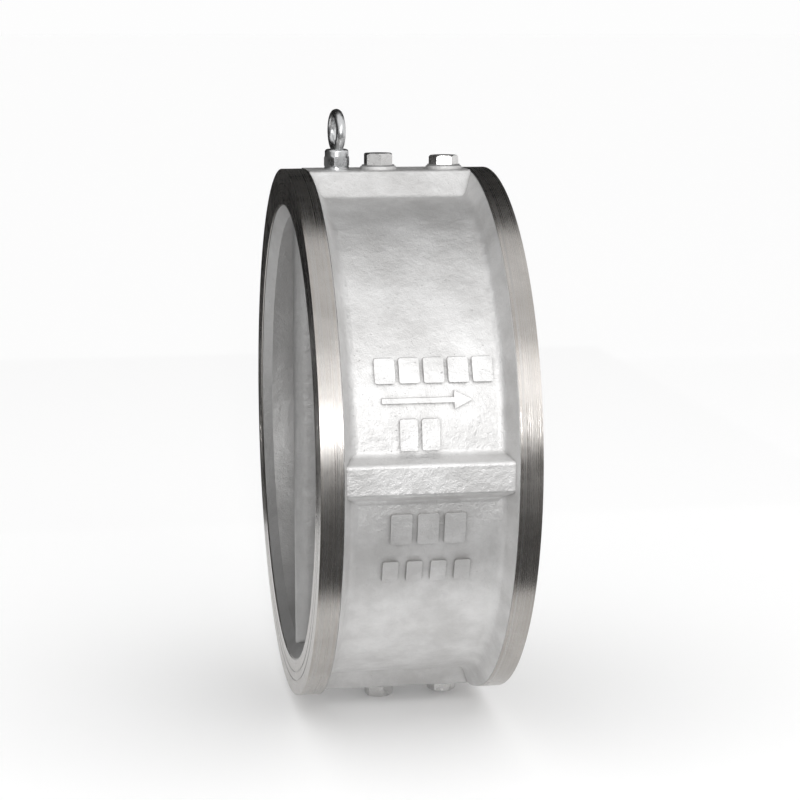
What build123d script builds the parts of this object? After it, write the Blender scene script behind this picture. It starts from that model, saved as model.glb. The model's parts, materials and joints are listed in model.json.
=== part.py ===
from build123d import *
from math import acos, atan2, cos, degrees, hypot, radians, sin, sqrt
import os

# Dual-plate wafer check valve, DN400 PN16, cast stainless steel body.
# X runs along the flow, Z runs up along the hinge pin, and the origin is the centre of
# the inlet face, on the pipe axis. All lengths are in millimetres.

# Body ring
face_to_face = 191.0
rim_radius = 247.5
rim_width = 20.3
rim_chamfer = 1.0
neck_radius = 228.0
flank_run = 9.0
flank_fillet = 9.0
mouth_radius = 215.0
mouth_depth = 10.0
bore_radius = 204.0
bore_end = 38.0
port_radius = 184.0
port_start = 46.0
seat_x = 62.0
cavity_radius = 205.0
bore_fillet = 12.0
cavity_fillet = 3.0
face_grooves = (226.0, 234.0)
groove_width = 1.0
groove_depth = 0.5

# Flat pads over the pins, and ribs on the two sides
pad_height = 247.0
pad_half_width = 28.0
pad_root_half_width = 44.8
pad_root_height = 223.6
rib_height = 241.5
rib_half_width = 13.5
rib_root_half_width = 19.8
rib_root_height = 226.5
pad_edge_fillet = 4.0
pad_root_fillet = 7.0
boss_top = 249.6
boss_radius = 16.4
boss_foot_radius = 18.0

# Web across the inlet, behind which the two plates meet
web_nose = 8.0
web_nose_half_width = 13.0
web_half_width = 17.0
web_flare_end = 40.0
web_reach = 208.0

# Pins and the plugs that close their holes
hinge_x = 88.5
hinge_pin_radius = 11.0
stop_x = 150.5
stop_pin_radius = 10.0
pin_half_length = 230.0
pin_clearance = 0.05
plug_hole_radius = 12.0
plug_hole_floor = 231.0
plug_flats = 24.0
hinge_plug_head = 10.8
stop_plug_head = 8.4
corner_chamfer = 0.06
plug_play = 0.3
gasket_thickness = 1.2
gasket_radius = 15.2

# Bearing bosses inside the body
hinge_boss_radius = 21.0
hinge_boss_face = 190.0
stop_boss_radius = 18.0
stop_boss_face = 195.0

# Plates
plate_radius = 196.0
plate_front = 62.3
plate_thickness = 12.7
plate_gap = 1.0
plate_edge_chamfer = 2.5
hinge_relief_radius = 21.8
lug_radius = 20.0
lug_bore_radius = 11.08
open_angle = 78.0
bumper_gap = 0.3
bumper_width = 16.0
bumper_length = 24.0
bumper_height_on_plate = 60.0

# Hinge stack, from the body boss down to the middle of the valve
bearing_thickness = 3.0
lug_length = 37.0
running_gap = 0.3
bearing_radius = 19.5

# Torsion springs
wire_radius = 3.0
coil_radius = 15.6
coil_turns = 13
spring_reach = 100.0
reaction_reach = 76.0

# Lifting eye
eye_x = 49.5
eye_stud_radius = 7.0
eye_stud_foot = 222.0
eye_washer_radius = 11.6
eye_washer_thickness = 2.5
eye_nut_flats = 21.5
eye_nut_height = 9.6
thread_play = 0.05
eye_collar_radius = 11.0
eye_collar_height = 6.6
eye_collar_fillet = 2.6
eye_ring_height = 282.0
eye_ring_radius = 16.1
eye_wire_radius = 4.4
eye_ring_turn = 6.5

plate_back = plate_front + plate_thickness
outlet_x = face_to_face


def finish(builder, name):
    """Label the finished piece and write it to its own file."""
    builder.part.label = name
    export_step(builder.part, f"parts/{name}.step")


os.makedirs("parts", exist_ok=True)

# Raised cast marks on the neck: blank tablets and the flow arrow
mark_height = 2.6
tablet_rows = (
    (5, 21.2, 17.6, 20.4, 102.1, 89.7),
    (2, 19.0, 15.4, 26.4, 87.9, 36.8),
    (3, 23.4, 18.4, 27.6, 95.6, -45.6),
    (4, 21.0, 13.6, 19.3, 95.9, -85.5),
)
arrow_tail = 56.0
arrow_neck = 118.5
arrow_tip = 134.4
arrow_height = 65.2
arrow_half_head = 7.6
arrow_half_shaft = 2.1

with BuildPart() as casting_marks:
    with BuildSketch(Plane.XZ.offset(neck_radius + 5)):
        for count, pitch, width, height, middle_x, middle_z in tablet_rows:
            with Locations((middle_x, middle_z)):
                with GridLocations(pitch, 1, count, 1):
                    RectangleRounded(width, height, 2)
        with BuildLine():
            Polyline(
                (arrow_tail, arrow_height - arrow_half_shaft),
                (arrow_neck, arrow_height - arrow_half_shaft),
                (arrow_neck, arrow_height - arrow_half_head),
                (arrow_tip, arrow_height),
                (arrow_neck, arrow_height + arrow_half_head),
                (arrow_neck, arrow_height + arrow_half_shaft),
                (arrow_tail, arrow_height + arrow_half_shaft),
                close=True,
            )
        make_face()
    extrude(amount=-60)
    with BuildSketch(Plane.YZ):
        Circle(neck_radius + mark_height)
        Circle(neck_radius - 5, mode=Mode.SUBTRACT)
    extrude(amount=face_to_face, mode=Mode.INTERSECT)


def raised_flat(top, half_top, root, half_root):
    """Outline of a pad or rib in the section across the pipe, from its flat top down into the wall."""
    spread = (half_root - half_top) / (top - root)
    foot = cavity_radius + 12
    half_foot = half_top + spread * (top - foot)
    with BuildSketch() as outline:
        with BuildLine():
            Polyline(
                (-half_top, top), (half_top, top), (half_foot, foot), (-half_foot, foot), close=True
            )
        make_face()
        fillet(outline.vertices().group_by(Axis.Y)[-1], pad_edge_fillet)
    return outline.sketch


pad_outline = raised_flat(pad_height, pad_half_width, pad_root_height, pad_root_half_width)
rib_outline = raised_flat(rib_height, rib_half_width, rib_root_height, rib_root_half_width)

# The neck's section across the pipe, with the two pads and the two ribs blended into it
with BuildSketch(Plane.YZ.offset(rim_width)) as neck_section:
    Circle(neck_radius)
    add(pad_outline)
    add(pad_outline, rotation=180)
    add(rib_outline, rotation=90)
    add(rib_outline, rotation=-90)
    roots = [v for v in neck_section.vertices() if abs(hypot(v.X, v.Y) - neck_radius) < 0.01]
    fillet(roots, pad_root_fillet)
    Circle(cavity_radius + 5, mode=Mode.SUBTRACT)

with BuildPart() as body:
    with BuildSketch(Plane.XZ) as ring_section:
        with BuildLine():
            Polyline(
                (0, mouth_radius),
                (0, rim_radius),
                (rim_width, rim_radius),
                (rim_width + flank_run, neck_radius),
                (outlet_x - rim_width - flank_run, neck_radius),
                (outlet_x - rim_width, rim_radius),
                (outlet_x, rim_radius),
                (outlet_x, mouth_radius),
                (outlet_x - mouth_depth, cavity_radius),
                (seat_x, cavity_radius),
                (seat_x, port_radius),
                (port_start, port_radius),
                (bore_end, bore_radius),
                (mouth_depth, bore_radius),
                close=True,
            )
        make_face()
        corners = ring_section.vertices()
        fillet([v for v in corners if abs(v.Y - neck_radius) < 0.01], flank_fillet)
        chamfer([v for v in corners if abs(v.Y - rim_radius) < 0.01], rim_chamfer)
        fillet([v for v in corners if abs(v.Y - bore_radius) < 0.01], bore_fillet)
        fillet([v for v in corners if abs(v.Y - cavity_radius) < 0.01], cavity_fillet)
    revolve(axis=Axis.X)
    extrude(neck_section.sketch, amount=outlet_x - 2 * rim_width)
    add(casting_marks.part)

    # Web across the inlet
    with BuildSketch(Plane.XY.offset(-web_reach)) as web_section:
        with BuildLine():
            Polyline(
                (web_nose, -web_nose_half_width),
                (web_nose, web_nose_half_width),
                (web_flare_end, web_half_width),
                (seat_x, web_half_width),
                (seat_x, -web_half_width),
                (web_flare_end, -web_half_width),
                close=True,
            )
        make_face()
        fillet(web_section.vertices().group_by(Axis.X)[0], web_nose_half_width - 1)
    extrude(amount=2 * web_reach)

    # Machined bosses for the plugs outside, and bearing bosses for the pins inside
    for side in (1, -1):
        outward = Plane((0, 0, 0), x_dir=(1, 0, 0), z_dir=(0, 0, side))
        for pin_x, inner_radius, inner_face in (
            (hinge_x, hinge_boss_radius, hinge_boss_face),
            (stop_x, stop_boss_radius, stop_boss_face),
        ):
            with BuildSketch(outward.offset(pad_height - 1)):
                with Locations((pin_x, 0)):
                    Circle(boss_foot_radius)
            with BuildSketch(outward.offset(boss_top)):
                with Locations((pin_x, 0)):
                    Circle(boss_radius)
            loft()
            with BuildSketch(outward.offset(inner_face)):
                with Locations((pin_x, 0)):
                    Circle(inner_radius)
            extrude(amount=neck_radius - 8 - inner_face)
            with BuildSketch(outward.offset(plug_hole_floor)):
                with Locations((pin_x, 0)):
                    Circle(plug_hole_radius)
            extrude(amount=boss_top - plug_hole_floor, mode=Mode.SUBTRACT)

    # Holes for the pins and for the stud of the lifting eye
    for pin_x, pin_radius in ((hinge_x, hinge_pin_radius), (stop_x, stop_pin_radius)):
        with BuildSketch(Plane.XY.offset(-plug_hole_floor)):
            with Locations((pin_x, 0)):
                Circle(pin_radius + pin_clearance)
        extrude(amount=2 * plug_hole_floor, mode=Mode.SUBTRACT)
    with BuildSketch(Plane.XY.offset(eye_stud_foot)):
        with Locations((eye_x, 0)):
            Circle(eye_stud_radius)
    extrude(amount=pad_height - eye_stud_foot, mode=Mode.SUBTRACT)

    # Gasket grooves turned into both end faces
    for face_x in (0, outlet_x):
        for groove_radius in face_grooves:
            with BuildSketch(Plane.XZ):
                with Locations((face_x, groove_radius)):
                    Rectangle(2 * groove_depth, groove_width)
            revolve(axis=Axis.X, mode=Mode.SUBTRACT)
finish(body, "body")

# Pins
for name, pin_x, pin_radius in (
    ("hinge_pin", hinge_x, hinge_pin_radius),
    ("stop_pin", stop_x, stop_pin_radius),
):
    with BuildPart() as pin:
        with BuildSketch(Plane.XY.offset(-pin_half_length)):
            with Locations((pin_x, 0)):
                Circle(pin_radius)
        extrude(amount=2 * pin_half_length)
        chamfer(pin.edges().filter_by(GeomType.CIRCLE), 1)
    finish(pin, name)


def hex_head(plane, flats, height, turn, chamfered_ends):
    """A hexagon prism on the plane, with its corners turned down at the given ends."""
    along = Axis(plane.origin, plane.z_dir)
    with BuildPart() as turned:
        with BuildSketch(plane):
            Circle(flats / sqrt(3))
        extrude(amount=height)
        ends = [turned.faces().sort_by(along)[end].edges() for end in chamfered_ends]
        for end_edges in ends:
            chamfer(end_edges, flats * corner_chamfer)
    with BuildPart() as head:
        with BuildSketch(plane):
            RegularPolygon(flats / 2, 6, major_radius=False, rotation=turn)
        extrude(amount=height)
        add(turned.part, mode=Mode.INTERSECT)
    return head.part


# Plugs and their gaskets, one pair at each end of each pin
plug_places = (
    ("hinge_plug_top", hinge_x, 1, hinge_plug_head, 33.0),
    ("hinge_plug_bottom", hinge_x, -1, hinge_plug_head, 20.0),
    ("stop_plug_top", stop_x, 1, stop_plug_head, 52.0),
    ("stop_plug_bottom", stop_x, -1, stop_plug_head, 8.0),
)
for name, pin_x, side, head_height, turn in plug_places:
    gasket_plane = Plane((pin_x, 0, side * boss_top), x_dir=(1, 0, 0), z_dir=(0, 0, side))
    head_plane = gasket_plane.offset(gasket_thickness)
    head = hex_head(head_plane, plug_flats, head_height, turn, (-1,))
    with BuildPart() as gasket:
        with BuildSketch(gasket_plane):
            Circle(gasket_radius)
            Circle(plug_hole_radius + plug_play, mode=Mode.SUBTRACT)
        extrude(amount=gasket_thickness)
    finish(gasket, name.replace("plug", "plug_gasket"))
    with BuildPart() as plug:
        add(head)
        with BuildSketch(head_plane):
            Circle(plug_hole_radius)
        extrude(amount=-(boss_top + gasket_thickness - plug_hole_floor))
    finish(plug, name)

# Lifting eye bolt with its washer and lock nut
eye_washer_plane = Plane.XY.offset(pad_height)
eye_nut_plane = eye_washer_plane.offset(eye_washer_thickness)
eye_collar_plane = eye_nut_plane.offset(eye_nut_height)
with BuildPart() as eye_washer:
    with BuildSketch(eye_washer_plane):
        with Locations((eye_x, 0)):
            Circle(eye_washer_radius)
            Circle(eye_stud_radius + plug_play, mode=Mode.SUBTRACT)
    extrude(amount=eye_washer_thickness)
    chamfer(eye_washer.faces().sort_by(Axis.Z)[-1].outer_wire().edges(), 0.6)
finish(eye_washer, "eye_bolt_washer")

nut_plane = Plane((eye_x, 0, pad_height + eye_washer_thickness))
nut_blank = hex_head(nut_plane, eye_nut_flats, eye_nut_height, 11.0, (-1, 0))
with BuildPart() as eye_nut:
    add(nut_blank)
    with BuildSketch(nut_plane):
        Circle(eye_stud_radius + thread_play)
    extrude(amount=eye_nut_height, mode=Mode.SUBTRACT)
finish(eye_nut, "eye_bolt_nut")

ring_plane = Plane(
    (eye_x, 0, eye_ring_height),
    x_dir=(0, 0, 1),
    z_dir=(cos(radians(eye_ring_turn)), sin(radians(eye_ring_turn)), 0),
)
with BuildPart() as eye_bolt:
    with BuildSketch(Plane.XY.offset(eye_stud_foot)):
        with Locations((eye_x, 0)):
            Circle(eye_stud_radius)
    extrude(amount=eye_collar_plane.origin.Z - eye_stud_foot)
    with BuildSketch(eye_collar_plane):
        with Locations((eye_x, 0)):
            Circle(eye_collar_radius)
    extrude(amount=eye_collar_height)
    fillet(eye_bolt.faces().sort_by(Axis.Z)[-1].edges(), eye_collar_fillet)
    with Locations(ring_plane.location):
        Torus(eye_ring_radius, eye_wire_radius)
finish(eye_bolt, "lifting_eye_bolt")

# Bearings stacked on the hinge pin, from the top boss to the bottom boss
lug_bearing_top = hinge_boss_face - bearing_thickness - lug_length
inner_lug_top = lug_bearing_top - bearing_thickness
spring_bearing_top = inner_lug_top - lug_length
spring_room_top = spring_bearing_top - bearing_thickness
bearing_places = (
    ("upper_body_bearing", hinge_boss_face - bearing_thickness),
    ("upper_lug_bearing", inner_lug_top),
    ("upper_spring_bearing", spring_room_top),
    ("centre_spring_bearing", -bearing_thickness / 2),
    ("lower_spring_bearing", -spring_bearing_top),
    ("lower_lug_bearing", -lug_bearing_top),
    ("lower_body_bearing", -hinge_boss_face),
)
for name, foot in bearing_places:
    with BuildPart() as bearing:
        with BuildSketch(Plane.XY.offset(foot)):
            with Locations((hinge_x, 0)):
                Circle(bearing_radius)
                Circle(hinge_pin_radius + pin_clearance, mode=Mode.SUBTRACT)
        extrude(amount=bearing_thickness)
    finish(bearing, name)

# Left plate. Its back carries two hinge lugs, a gusset behind each, and the bumpers that
# meet the stop pin when the plate is fully open.
outer_lug_foot = lug_bearing_top + running_gap
inner_lug_foot = -inner_lug_top + running_gap
lug_height = lug_length - 2 * running_gap
gusset_width = 14.0
gusset_reach = 105.0
arm_reach = 48.0
bumper_y = (stop_x - hinge_x) * sin(radians(open_angle))
bumper_reach = (
    (stop_x - hinge_x) * cos(radians(open_angle))
    + hinge_x
    - plate_back
    - stop_pin_radius
    - bumper_gap
)
with BuildPart() as plate_left:
    with BuildSketch(Plane.YZ.offset(plate_front)):
        Circle(plate_radius)
        with Locations((plate_gap, 0)):
            Rectangle(
                plate_radius * 2.2, plate_radius * 2.2, align=(Align.MAX, Align.CENTER), mode=Mode.SUBTRACT
            )
    extrude(amount=plate_thickness)
    chamfer(plate_left.faces().sort_by(Axis.X)[-1].edges().filter_by(GeomType.CIRCLE), plate_edge_chamfer)
    with BuildSketch(Plane.XY.offset(-plate_radius)):
        with Locations((hinge_x, 0)):
            Circle(hinge_relief_radius)
    extrude(amount=2 * plate_radius, mode=Mode.SUBTRACT)
    for lug_foot in (outer_lug_foot, inner_lug_foot):
        with BuildSketch(Plane.XY.offset(lug_foot)):
            with Locations((hinge_x, 0)):
                Circle(lug_radius)
            with BuildLine():
                Polyline(
                    (plate_front, plate_gap),
                    (plate_front, arm_reach),
                    (plate_back, arm_reach),
                    (hinge_x + lug_radius * 0.5, lug_radius * 0.86),
                    (hinge_x, plate_gap),
                    close=True,
                )
            make_face()
        extrude(amount=lug_height)
        with BuildSketch(Plane.XY.offset(lug_foot + (lug_height - gusset_width) / 2)):
            with BuildLine():
                Polyline(
                    (plate_back - 2, lug_radius),
                    (plate_back - 2, gusset_reach),
                    (plate_back, gusset_reach),
                    (hinge_x + lug_radius * 0.5, lug_radius * 0.86),
                    close=True,
                )
            make_face()
        extrude(amount=gusset_width)
    with BuildSketch(Plane.YZ.offset(plate_back)):
        with Locations((bumper_y, bumper_height_on_plate), (bumper_y, -bumper_height_on_plate)):
            RectangleRounded(bumper_width, bumper_length, 4)
    extrude(amount=bumper_reach)
    with BuildSketch(Plane.XY.offset(-plate_radius)):
        with Locations((hinge_x, 0)):
            Circle(lug_bore_radius)
    extrude(amount=2 * plate_radius, mode=Mode.SUBTRACT)
finish(plate_left, "plate_left")

# The right plate is the same casting turned half a turn about the pipe axis
turned_plate = plate_left.part.rotate(Axis.X, 180)
with BuildPart() as plate_right:
    add(turned_plate)
finish(plate_right, "plate_right")


def tangent_angle(end_x, end_y):
    """Direction of a leg's end from the pin, and the angle from there to where it meets the coil."""
    return degrees(atan2(end_y, end_x)), degrees(acos(coil_radius / hypot(end_x, end_y)))


# Torsion spring of the left plate: one leg lies on the plate's back, the other bears on
# the stop pin. Leg ends are measured from the hinge pin.
push_x = plate_back + wire_radius + 0.3 - hinge_x
bear_y = stop_pin_radius + wire_radius + 0.3
push_direction, push_spread = tangent_angle(push_x, spring_reach)
bear_direction, bear_spread = tangent_angle(stop_x - hinge_x, bear_y)
push_angle = push_direction - push_spread
bear_angle = bear_direction + bear_spread
turns = coil_turns + (push_angle - bear_angle) / 360
coil_foot = bearing_thickness / 2 + running_gap + wire_radius
coil_height = spring_room_top - running_gap - wire_radius - coil_foot
coil_place = Location((hinge_x, 0, coil_foot), (0, 0, push_angle))
coil = coil_place * Helix(
    pitch=coil_height / turns, height=coil_height, radius=coil_radius, lefthand=True
)


def coil_point(angle, height):
    """Point on the coil's centre line at an angle round the pin."""
    return Vector(
        hinge_x + coil_radius * cos(radians(angle)), coil_radius * sin(radians(angle)), height
    )


push_root = coil_point(push_angle, coil_foot)
bear_root = coil_point(bear_angle, coil_foot + coil_height)
push_way = Vector(-sin(radians(push_angle)), cos(radians(push_angle)), 0)
bear_way = Vector(sin(radians(bear_angle)), -cos(radians(bear_angle)), 0)
push_length = sqrt(push_x**2 + spring_reach**2 - coil_radius**2)
bear_length = sqrt(reaction_reach**2 + bear_y**2 - coil_radius**2)
push_leg = Line(push_root + push_way * push_length, push_root)
bear_leg = Line(bear_root, bear_root + bear_way * bear_length)
wire_path = Wire([push_leg.edge(), coil.edge(), bear_leg.edge()])
with BuildPart() as upper_spring:
    with BuildSketch(Plane(wire_path @ 0, z_dir=wire_path % 0)):
        Circle(wire_radius)
    sweep(path=wire_path, transition=Transition.TRANSFORMED)
finish(upper_spring, "upper_spring")

turned_spring = upper_spring.part.rotate(Axis.X, 180)
with BuildPart() as lower_spring:
    add(turned_spring)
finish(lower_spring, "lower_spring")
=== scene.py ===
import bpy
import json
from math import cos, pi, radians, sin
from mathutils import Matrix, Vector


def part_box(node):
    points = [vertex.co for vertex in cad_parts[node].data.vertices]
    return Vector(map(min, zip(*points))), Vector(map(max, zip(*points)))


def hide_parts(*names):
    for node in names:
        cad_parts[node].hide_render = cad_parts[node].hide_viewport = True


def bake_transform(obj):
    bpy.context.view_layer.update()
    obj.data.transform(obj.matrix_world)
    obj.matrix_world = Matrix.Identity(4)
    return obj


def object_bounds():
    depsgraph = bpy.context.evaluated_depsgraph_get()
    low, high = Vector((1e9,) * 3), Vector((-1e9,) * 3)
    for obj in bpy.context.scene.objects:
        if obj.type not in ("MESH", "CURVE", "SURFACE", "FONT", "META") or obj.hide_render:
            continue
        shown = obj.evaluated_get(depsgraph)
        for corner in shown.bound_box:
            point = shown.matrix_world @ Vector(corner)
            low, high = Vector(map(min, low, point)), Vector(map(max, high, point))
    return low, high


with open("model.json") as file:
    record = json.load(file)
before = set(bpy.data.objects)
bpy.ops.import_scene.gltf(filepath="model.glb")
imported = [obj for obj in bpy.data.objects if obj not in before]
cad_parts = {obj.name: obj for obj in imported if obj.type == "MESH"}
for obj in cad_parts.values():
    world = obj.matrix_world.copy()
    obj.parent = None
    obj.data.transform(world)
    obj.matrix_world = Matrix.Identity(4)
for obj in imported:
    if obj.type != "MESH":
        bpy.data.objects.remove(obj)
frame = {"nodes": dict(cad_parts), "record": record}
cad_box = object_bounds()
nodes = frame["nodes"]

# Driving places, in metres, in the valve's own frame: X along the flow, Z up the hinge pin
BODY_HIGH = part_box("body")[1]
LENGTH = BODY_HIGH.x
RIM_RADIUS = BODY_HIGH.y
RIM_WIDTH = 0.0203
# the bore wall inside this radius gets painted shade, with a short fade at its edge
BORE_LIMIT = 0.2150
BORE_SHADE_FADE = 0.002
FLOOR_GAP = 0.0005
FLOOR_SIZE = 600
WORLD_STRENGTH = 0.985

# Tool marks and cast texture of the body: rings a metre, and noise scales
RING_DENSITY = 2600
BROAD_RING_DENSITY = 420
LUMP_SCALE = 38
DIMPLE_SCALE = 210
GRAIN_SCALE = 850
PIT_SCALE = 430
BLOTCH_SCALE = 22
SMEAR_SCALE = 14
# reach of the ambient-occlusion shade painted into crevices
CREVICE_SHADE_REACH = 0.005
MIDDLE = Vector((LENGTH / 2, 0, 0))


# Camera: a long lens, a little above the pipe axis and a little to the inlet side
def make_camera(azimuth=9.344, elevation=10.5, distance=2.0533, lens=96.89):
    turn, tilt = radians(azimuth), radians(elevation)
    forward = Vector((sin(turn) * cos(tilt), cos(turn) * cos(tilt), -sin(tilt)))
    data = bpy.data.cameras.new("camera")
    data.lens = lens
    data.sensor_width = 36
    data.shift_x = 0.01816
    data.shift_y = 0.03626
    camera = bpy.data.objects.new("camera", data)
    camera.location = MIDDLE - forward * distance
    camera.rotation_euler = forward.to_track_quat("-Z", "Y").to_euler()
    bpy.context.scene.collection.objects.link(camera)
    bpy.context.scene.camera = camera


# A small wrapper that keeps node graphs short
class Graph:
    def __init__(self, name):
        self.material = bpy.data.materials.new(name)
        self.material.use_nodes = True
        self.nodes = self.material.node_tree.nodes
        self.links = self.material.node_tree.links
        self.shader = self.nodes["Principled BSDF"]
        coordinates = self.nodes.new("ShaderNodeTexCoord")
        self.place = coordinates.outputs["Object"]

    def feed(self, socket, value):
        if isinstance(value, bpy.types.NodeSocket):
            self.links.new(value, socket)
        else:
            socket.default_value = value

    def math(self, operation, a, b=0.0, clamp=False):
        node = self.nodes.new("ShaderNodeMath")
        node.operation = operation
        node.use_clamp = clamp
        self.feed(node.inputs[0], a)
        self.feed(node.inputs[1], b)
        return node.outputs[0]

    def split(self, vector):
        node = self.nodes.new("ShaderNodeSeparateXYZ")
        self.feed(node.inputs[0], vector)
        return node.outputs

    def join(self, x, y, z):
        node = self.nodes.new("ShaderNodeCombineXYZ")
        for socket, value in zip(node.inputs, (x, y, z)):
            self.feed(socket, value)
        return node.outputs[0]

    def noise(self, scale, detail=4.0, roughness=0.55, vector=None):
        node = self.nodes.new("ShaderNodeTexNoise")
        self.feed(node.inputs["Vector"], vector or self.place)
        node.inputs["Scale"].default_value = scale
        node.inputs["Detail"].default_value = detail
        node.inputs["Roughness"].default_value = roughness
        return node.outputs["Fac"]

    def occlusion(self, distance):
        node = self.nodes.new("ShaderNodeAmbientOcclusion")
        node.samples = 6
        node.inputs["Distance"].default_value = distance
        return node.outputs["AO"]

    def ramp(self, value, low, high, to_low=0.0, to_high=1.0):
        node = self.nodes.new("ShaderNodeMapRange")
        node.interpolation_type = "SMOOTHSTEP"
        self.feed(node.inputs["Value"], value)
        for socket, number in zip(list(node.inputs)[1:5], (low, high, to_low, to_high)):
            socket.default_value = number
        return node.outputs["Result"]

    def mix(self, share, a, b):
        node = self.nodes.new("ShaderNodeMix")
        node.data_type = "RGBA"
        self.feed(node.inputs["Factor"], share)
        self.feed(node.inputs["A"], a)
        self.feed(node.inputs["B"], b)
        return node.outputs["Result"]

    def mix_number(self, share, a, b):
        node = self.nodes.new("ShaderNodeMix")
        for socket, value in zip((node.inputs[0], node.inputs[2], node.inputs[3]), (share, a, b)):
            self.feed(socket, value)
        return node.outputs[0]

    def bump(self, height, distance, strength=1.0, under=None):
        node = self.nodes.new("ShaderNodeBump")
        node.inputs["Distance"].default_value = distance
        node.inputs["Strength"].default_value = strength
        self.feed(node.inputs["Height"], height)
        if under is not None:
            self.feed(node.inputs["Normal"], under)
        return node.outputs["Normal"]


def grey(level, warmth=0.0):
    return (level * (1 + warmth), level, level * (1 - warmth), 1)


def valve_body_material():
    """Pickled stainless casting, with turned rims and end faces picked out by where they are."""
    g = Graph("cast_body")
    x, y, z = g.split(g.place)
    radius = g.math("SQRT", g.math("ADD", g.math("MULTIPLY", y, y), g.math("MULTIPLY", z, z)))
    rim = g.ramp(radius, RIM_RADIUS - 0.0016, RIM_RADIUS - 0.0010)
    from_middle = g.math("ABSOLUTE", g.math("SUBTRACT", x, LENGTH / 2))
    in_rim_band = g.ramp(from_middle, LENGTH / 2 - RIM_WIDTH - 0.0003, LENGTH / 2 - RIM_WIDTH + 0.0003)
    face = g.ramp(from_middle, LENGTH / 2 - 0.0013, LENGTH / 2 - 0.0007)
    turned = g.math("MAXIMUM", g.math("MULTIPLY", rim, in_rim_band), face)
    # turned surfaces: fine rings at constant X on the rim, at constant radius on the faces
    def along_rings(density):
        return g.join(g.math("MULTIPLY", x, density), g.math("MULTIPLY", radius, density), 0)

    rings = g.noise(1, 3, 0.6, along_rings(RING_DENSITY))
    broad_rings = g.noise(1, 2, 0.5, along_rings(BROAD_RING_DENSITY))
    smears = g.noise(SMEAR_SCALE, 4, 0.6)
    # cast surfaces: soft lumps, grain from blasting, and scattered pits
    lumps = g.noise(LUMP_SCALE, 3, 0.5)
    grain = g.noise(GRAIN_SCALE, 3, 0.65)
    pits = g.ramp(g.noise(PIT_SCALE, 2, 0.6), 0.69, 0.77)
    blotches = g.noise(BLOTCH_SCALE, 5, 0.65)
    cast_colour = g.mix(g.ramp(blotches, 0.3, 0.72), grey(0.60, 0.01), grey(0.76, 0.005))
    cast_colour = g.mix(g.math("MULTIPLY", pits, 0.35), cast_colour, grey(0.36, 0.02))
    # painted shade: the bore wall is the same cast metal, darkened towards dark grey to stand for the
    # dim light inside the bore
    bore_shade = g.ramp(radius, BORE_LIMIT, BORE_LIMIT + BORE_SHADE_FADE, 1.0, 0.0)
    cast_colour = g.mix(g.math("MULTIPLY", bore_shade, 0.62), cast_colour, grey(0.24, 0.01))
    turned_colour = g.mix(g.ramp(smears, 0.3, 0.7), grey(0.34, 0.07), grey(0.50, 0.05))
    turned_colour = g.mix(g.ramp(broad_rings, 0.35, 0.7), turned_colour, grey(0.42, 0.03))
    # painted shade: ambient occlusion darkens the colour towards dark grey in crevices, at joints and
    # round the raised marks
    crevice_shade = g.ramp(g.occlusion(CREVICE_SHADE_REACH), 0.35, 0.95, 0.45, 1.0)
    surface = g.mix(turned, cast_colour, turned_colour)
    g.feed(g.shader.inputs["Base Color"], g.mix(crevice_shade, grey(0.12, 0.05), surface))
    cast_rough = g.ramp(grain, 0.2, 0.8, 0.40, 0.58)
    turned_rough = g.ramp(g.math("ADD", g.math("MULTIPLY", rings, 0.6), g.math("MULTIPLY", smears, 0.4)),
                          0.3, 0.7, 0.17, 0.38)
    g.feed(g.shader.inputs["Roughness"], g.mix_number(turned, cast_rough, turned_rough))
    g.feed(g.shader.inputs["Metallic"], g.ramp(turned, 0.0, 1.0, 0.8, 1.0))
    cast_share = g.math("SUBTRACT", 1.0, turned)
    normal = g.bump(g.math("MULTIPLY", lumps, cast_share), 0.0020, 0.8)
    dimples = g.noise(DIMPLE_SCALE, 2, 0.55)
    normal = g.bump(g.math("MULTIPLY", dimples, cast_share), 0.0007, 0.6, normal)
    normal = g.bump(g.math("MULTIPLY", pits, g.math("MULTIPLY", cast_share, -1.0)), 0.0005, 0.7, normal)
    normal = g.bump(g.math("MULTIPLY", grain, cast_share), 0.00042, 0.9, normal)
    normal = g.bump(g.math("MULTIPLY", rings, turned), 0.00012, 0.9, normal)
    g.feed(g.shader.inputs["Normal"], normal)
    return g.material


def machined_material(name, level, warmth, rough_low, rough_high, grain_scale=1500.0, metallic=1.0):
    """Turned or milled bar: fine tool marks with slight staining."""
    g = Graph(name)
    marks = g.noise(grain_scale, 3, 0.6)
    stains = g.noise(90, 4, 0.6)
    g.feed(g.shader.inputs["Base Color"],
           g.mix(g.ramp(stains, 0.3, 0.7), grey(level * 0.82, warmth), grey(level, warmth)))
    g.feed(g.shader.inputs["Roughness"], g.ramp(stains, 0.3, 0.7, rough_low, rough_high))
    g.shader.inputs["Metallic"].default_value = metallic
    normal = g.bump(g.noise(240, 2, 0.5), 0.0003, 0.5)
    g.feed(g.shader.inputs["Normal"], g.bump(marks, 0.00005, 0.8, normal))
    return g.material


def paint(slots_to_material):
    for slot, material in slots_to_material.items():
        for entry in frame["record"]["subparts"]:
            if entry["material_slot"] == slot:
                node = nodes[entry["node"]]
                node.data.materials.clear()
                node.data.materials.append(material)


paint({
    "cast_body": valve_body_material(),
    "plates": machined_material("plates", 0.56, 0.02, 0.36, 0.52, 700.0),
    "pins": machined_material("pins", 0.66, 0.01, 0.16, 0.26),
    "spring_wire": machined_material("spring_wire", 0.5, 0.0, 0.24, 0.36),
    "plugs": machined_material("plugs", 0.74, 0.01, 0.2, 0.34),
    "gaskets": machined_material("gaskets", 0.30, 0.0, 0.5, 0.7, 900.0, 0.6),
    "bearings": machined_material("bearings", 0.72, 0.06, 0.4, 0.55, 900.0, 0.0),
    "zinc_eye": machined_material("zinc_eye", 0.66, -0.01, 0.22, 0.36),
})


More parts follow.
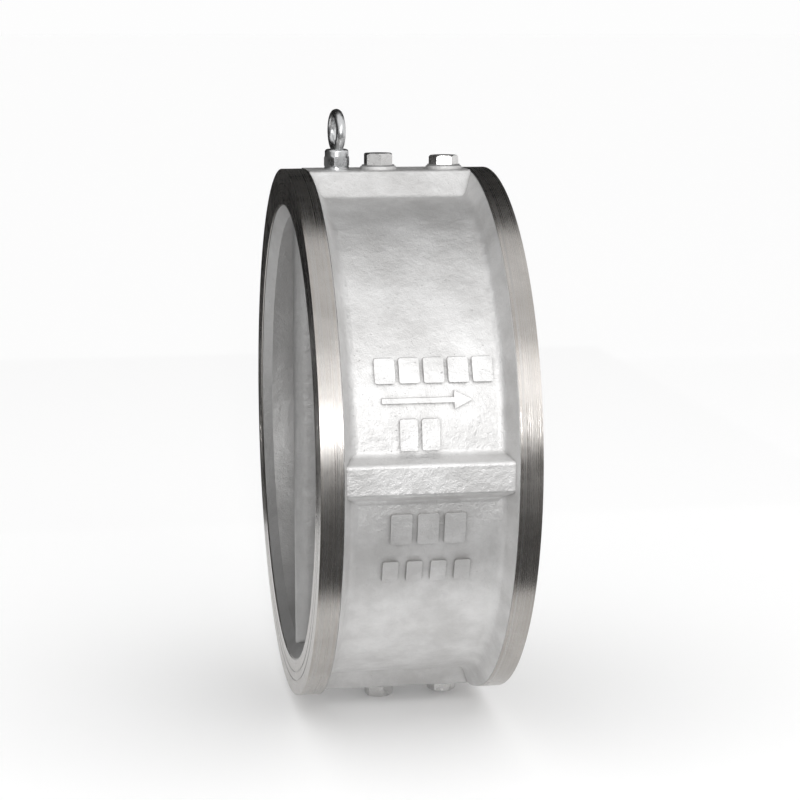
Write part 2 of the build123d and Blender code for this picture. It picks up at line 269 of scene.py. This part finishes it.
# Torsion springs: one tube each, swept along push leg, coil and bearing leg. The push leg's end
# turns with its plate, the bearing leg's end stays with the body, and the coil takes up the twist.
PIN_X = 0.0885
COIL_RADIUS = 0.0156
WIRE_RADIUS = 0.0030
COIL_LOW, COIL_HIGH = 0.0048, 0.1037
COIL_START, COIL_TURNS = radians(14.752), 12.797
PUSH_LEG = Vector((-0.2546, 0.9670, 0)) * 0.0993
BEAR_LEG = Vector((0.9993, -0.0372, 0)) * 0.0756
WIRE_SIDES = 16
LEG_STEPS = 24
STEPS_A_TURN = 40


def wire_points():
    steps = round(COIL_TURNS * STEPS_A_TURN)
    coil = []
    for step in range(steps + 1):
        share = step / steps
        angle = COIL_START - share * COIL_TURNS * 2 * pi
        height = COIL_LOW + share * (COIL_HIGH - COIL_LOW)
        coil.append(Vector((PIN_X + COIL_RADIUS * cos(angle), COIL_RADIUS * sin(angle), height)))
    push = [coil[0] + PUSH_LEG * (1 - step / LEG_STEPS) for step in range(LEG_STEPS)]
    bear = [coil[-1] + BEAR_LEG * (step / LEG_STEPS) for step in range(1, LEG_STEPS + 1)]
    return push + coil + bear


def swept_wire(name, points):
    """A round tube along the points, with flat ends."""
    verts, faces = [], []
    across = Vector((0, 0, 1))
    for index, point in enumerate(points):
        ahead = points[min(index + 1, len(points) - 1)]
        behind = points[max(index - 1, 0)]
        along = (ahead - behind).normalized()
        across = (across - along * across.dot(along)).normalized()
        side = along.cross(across)
        for corner in range(WIRE_SIDES):
            turn = 2 * pi * corner / WIRE_SIDES
            verts.append(point + (across * cos(turn) + side * sin(turn)) * WIRE_RADIUS)
    rings = len(points)
    for ring in range(rings - 1):
        for corner in range(WIRE_SIDES):
            following = (corner + 1) % WIRE_SIDES
            low, high = ring * WIRE_SIDES, (ring + 1) * WIRE_SIDES
            faces.append((low + corner, low + following, high + following, high + corner))
    faces.append(tuple(reversed(range(WIRE_SIDES))))
    faces.append(tuple(range((rings - 1) * WIRE_SIDES, rings * WIRE_SIDES)))
    mesh = bpy.data.meshes.new(name)
    mesh.from_pydata(verts, [], faces)
    for polygon in mesh.polygons[:-2]:
        polygon.use_smooth = True
    spring = bpy.data.objects.new(name, mesh)
    bpy.context.scene.collection.objects.link(spring)
    return spring


def make_spring(node, flip):
    """The lower spring is the upper one turned half round the flow axis."""
    points = [Vector((p.x, p.y * flip, p.z * flip)) for p in wire_points()]
    spring = swept_wire("shown_" + node, points)
    spring.data.materials.append(nodes[node].data.materials[0])
    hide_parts(node)
    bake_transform(spring)


make_spring("upper_spring", 1)
make_spring("lower_spring", -1)


# Studio: pale floor, white surroundings, soft light from the camera's side, and dark flags that
# only reflections see
def stage_plane(name, size, location, facing, level, flag=True):
    mesh = bpy.data.meshes.new(name)
    w, h = size[0] / 2, size[1] / 2
    mesh.from_pydata([(-w, -h, 0), (w, -h, 0), (w, h, 0), (-w, h, 0)], [], [(0, 1, 2, 3)])
    plane = bpy.data.objects.new(name, mesh)
    plane.location = location
    plane.rotation_euler = Vector(facing).to_track_quat("Z", "Y").to_euler()
    material = bpy.data.materials.new(name)
    material.use_nodes = True
    shader = material.node_tree.nodes["Principled BSDF"]
    shader.inputs["Base Color"].default_value = grey(level)
    shader.inputs["Roughness"].default_value = 0.95
    mesh.materials.append(material)
    if flag:
        plane.visible_camera = False
        plane.visible_diffuse = False
        plane.visible_shadow = False
    bpy.context.scene.collection.objects.link(plane)


def area_light(name, location, target, size, power):
    data = bpy.data.lights.new(name, "AREA")
    data.shape = "RECTANGLE"
    data.size, data.size_y = size
    data.energy = power
    light = bpy.data.objects.new(name, data)
    light.location = location
    light.rotation_euler = (Vector(target) - Vector(location)).to_track_quat("-Z", "Y").to_euler()
    bpy.context.scene.collection.objects.link(light)


def make_studio():
    world = bpy.data.worlds.new("studio")
    world.use_nodes = True
    background = world.node_tree.nodes["Background"]
    background.inputs["Color"].default_value = (1, 1, 1, 1)
    background.inputs["Strength"].default_value = WORLD_STRENGTH
    scene = bpy.context.scene
    scene.world = world
    scene.view_settings.view_transform = "Standard"
    floor_height = cad_box[0][2] - FLOOR_GAP
    stage_plane("floor", (FLOOR_SIZE, FLOOR_SIZE), (0, 0, floor_height), (0, 0, 1), 0.99, flag=False)
    stage_plane("flag_above", (4.0, 2.2), (0.1, 1.15, 1.35), (0, -0.65, -0.76), 0.01)
    stage_plane("flag_behind", (4.4, 1.7), (-0.3, 2.1, 0.62), (0, -1, 0), 0.01)
    stage_plane("flag_left", (2.0, 2.4), (-1.7, 0.9, 0.5), (0.88, -0.47, 0), 0.04)
    stage_plane("flag_low", (2.6, 1.5), (-0.4, 1.5, floor_height + 0.001), (0, 0, 1), 0.03)
    stage_plane("flag_front", (4.0, 0.42), (0, -2.05, -0.05), (0, 1, 0), 0.10)
    stage_plane("flag_front_low", (4.0, 1.7), (0, -1.15, floor_height + 0.001), (0, 0, 1), 0.09)
    stage_plane("flag_side", (1.6, 1.9), (-1.9, -0.25, 0.15), (1, 0.1, 0), 0.03)
    key_place = bpy.context.scene.camera.location * 1.35
    area_light("key", key_place, MIDDLE, (0.3, 0.3), 23)
    area_light("fill", (0.9, -2.2, 1.3), MIDDLE, (1.4, 1.0), 6)


make_camera()
make_studio()
